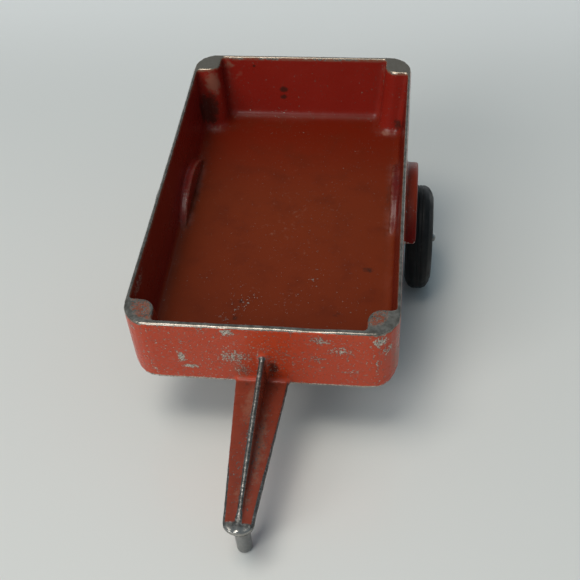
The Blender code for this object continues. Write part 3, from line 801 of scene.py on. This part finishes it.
def metal_colour(p, y, z, floor):
    """Colour and roughness of the bare metal: oxidised grey, smoother and warmer on the rim, paler
    where it is freshly chipped, dark with glints on the drawbar, and mid grey on the pin."""
    tone = p.step(p.noise(1.4, 6, rough=0.7, shift=21), 0.34, 0.72)
    colour = p.blend(OXIDE_DARK, OXIDE_PALE, tone)
    on_rim = p.step(z, -0.6, -0.3)
    rim = p.blend(RIM_DARK, RIM_PALE, p.step(p.noise(2, 6, rough=0.65, shift=23), 0.3, 0.7))
    rim = p.blend(rim, RIM_REAR, p.step(y, 140, 146))
    colour = p.blend(colour, rim, p.product(on_rim, 0.75))
    chip = p.blend(CHIP_DARK, CHIP_PALE, p.step(p.noise(0.5, 3, shift=27), 0.36, 0.62))
    off_rim = p.product(p.step(z, -0.6, -0.9), p.step(y, -0.6, 0))
    colour = p.blend(colour, chip, p.product(off_rim, p.between(0.85, 0.45, floor)))
    on_bar = p.step(y, -0.5, -2)
    colour = p.blend(colour, BAR_METAL, p.product(on_bar, 0.4))
    sparse = p.product(on_bar, p.step(p.noise(0.8, 4, shift=29), 0.54, 0.64))
    nose = p.product(p.step(y, -58.5, -60), p.step(z, -28, -26.5))
    colour = p.blend(colour, BAR_GLINT, p.highest(p.product(sparse, 0.35), p.product(nose, 0.45)))
    pin = p.product(p.step(z, -30, -31), p.step(y, -48, -50))
    colour = p.blend(colour, PIN_METAL, p.product(pin, 0.8))
    return colour, p.between(p.between(0.46, 0.28, tone), 0.22, p.highest(on_rim, nose))


def rubber():
    """Old black rubber: faint grey bloom, fine moulding rings, dust in the tread."""
    p = Pattern("aged_black_rubber")
    x, y, z = p.coordinates()
    radius = length_of(p, y, z)
    bloom = p.step(p.noise(6, 5, rough=0.6), 0.4, 0.75)
    tread = p.step(radius, 21, 21.9)
    dust = p.product(tread, p.step(p.noise(2.5, 5, rough=0.7, shift=4), 0.5, 0.72), 0.5)
    colour = p.blend(p.blend(RUBBER_BLACK, RUBBER_BLOOM, bloom), TREAD_DUST, dust)
    rings = p.product(p.calc("SINE", p.product(radius, 9)), p.calc("SUBTRACT", 1, tread), 0.3)
    lines = p.product(p.calc("SINE", p.product(x, 14)), tread, 0.3)
    relief = p.calc("ADD", p.calc("ADD", rings, lines), p.product(p.noise(0.8, 4), 0.8))
    return p.finish(
        Base_Color=colour, Roughness=p.between(0.5, 0.75, bloom), Specular_IOR_Level=0.22,
        Normal=p.bump(relief, 0.3, 0.06))


def plated(name, light, dark, rust_share):
    """Dull plated or drawn steel: lathe lines about the axle, tarnish and small rust specks."""
    p = Pattern(name)
    _, y, z = p.coordinates()
    tarnish = p.step(p.noise(3, 6, rough=0.65), 0.35, 0.7)
    rust = p.product(p.step(p.noise(1.2, 6, rough=0.75, shift=9), 0.66, 0.74), rust_share)
    colour = p.blend(p.blend(light, dark, tarnish), RUST, rust)
    lines = p.calc("SINE", p.product(length_of(p, y, z), 26))
    relief = p.calc("ADD", p.product(lines, 0.2), p.product(p.noise(0.7, 4), 0.7))
    return p.finish(
        Base_Color=colour, Metallic=p.between(1, 0.1, rust),
        Roughness=p.between(p.between(0.28, 0.48, tarnish), 0.8, rust),
        Normal=p.bump(relief, 0.25, 0.03))


# ---------------------------------------------------------------- stage

def table():
    """A pale glossy table top under the trailer."""
    mesh = bpy.data.meshes.new("table_top")
    shape = bmesh.new()
    bmesh.ops.create_grid(shape, x_segments=1, y_segments=1, size=TABLE_REACH)
    shape.to_mesh(mesh)
    shape.free()
    top = new_piece("table_top", mesh, Matrix.Translation((0, 0, CAD_BOX[0][2])))
    p = Pattern("pale_table")
    colour = p.blend(TABLE_DULL, TABLE_LIGHT, p.noise(400, 2))
    top.data.materials.append(p.finish(Base_Color=colour, Roughness=0.24))


def area_light(name, place, target, size, power, colour, glints_only=False):
    """A soft lamp that the camera doesn't see. With glints_only it shows only in reflections."""
    light = bpy.data.lights.new(name, "AREA")
    light.shape = "RECTANGLE"
    light.size, light.size_y = size
    light.energy = power
    light.color = colour
    lamp = bpy.data.objects.new(name, light)
    bpy.context.scene.collection.objects.link(lamp)
    lamp.visible_camera = False
    lamp.visible_diffuse = not glints_only
    lamp.location = place
    lamp.rotation_euler = (Vector(target) - Vector(place)).to_track_quat("-Z", "Y").to_euler()


def lights():
    """A large window on the front left, a warm ceiling, and a faint cool room; sizes are in metres
    and powers in watts. The pale wall behind puts the glints on the rim and the fillets."""
    world = bpy.data.worlds.new("soft_room")
    world.use_nodes = True
    background = world.node_tree.nodes["Background"]
    background.inputs["Color"].default_value = (0.62, 0.83, 1, 1)
    background.inputs["Strength"].default_value = 0.28
    bpy.context.scene.world = world
    area_light("window", place=(-0.75, -1.3, 0.8), target=(0, 0, 0), size=(0.95, 0.75),
               power=13.5, colour=(0.99, 0.99, 0.98))
    area_light("ceiling", place=(-0.35, -0.35, 1.6), target=(0, 0, 0), size=(0.8, 0.8),
               power=13, colour=(1, 0.965, 0.91))
    area_light("pale_wall", place=(0, 1.0, 0.16), target=(0, 0, 0.04), size=(2.0, 0.3),
               power=2.2, colour=(0.97, 0.99, 1), glints_only=True)


def camera(level):
    """In front, right of the middle, looking down at the tub; placed in the level frame."""
    lens = bpy.data.cameras.new("camera")
    lens.lens = FOCAL_LENGTH
    lens.sensor_width = SENSOR_WIDTH
    lens.clip_start = NEAREST_SEEN
    eye = bpy.data.objects.new("camera", lens)
    bpy.context.scene.collection.objects.link(eye)
    turn = Euler([math.radians(angle) for angle in EYE_ANGLES]).to_matrix().to_4x4()
    eye.matrix_world = level @ Matrix.Translation(Vector(EYE_PLACE) * MM) @ turn
    bpy.context.scene.camera = eye


def main():
    bpy.context.scene.view_settings.view_transform = "Standard"
    looks = {
        "rubber": rubber(),
        "steel": plated("plain_steel", STEEL_LIGHT, STEEL_DARK, 0.7),
        "zinc": plated("dull_zinc_plate", ZINC_LIGHT, ZINC_DARK, 0.35)}
    level = level_frame()
    casting(level)
    axle(looks)
    for side, sign in SIDES.items():
        wheel(side, sign, looks)
    table()
    lights()
    camera(level)


main()
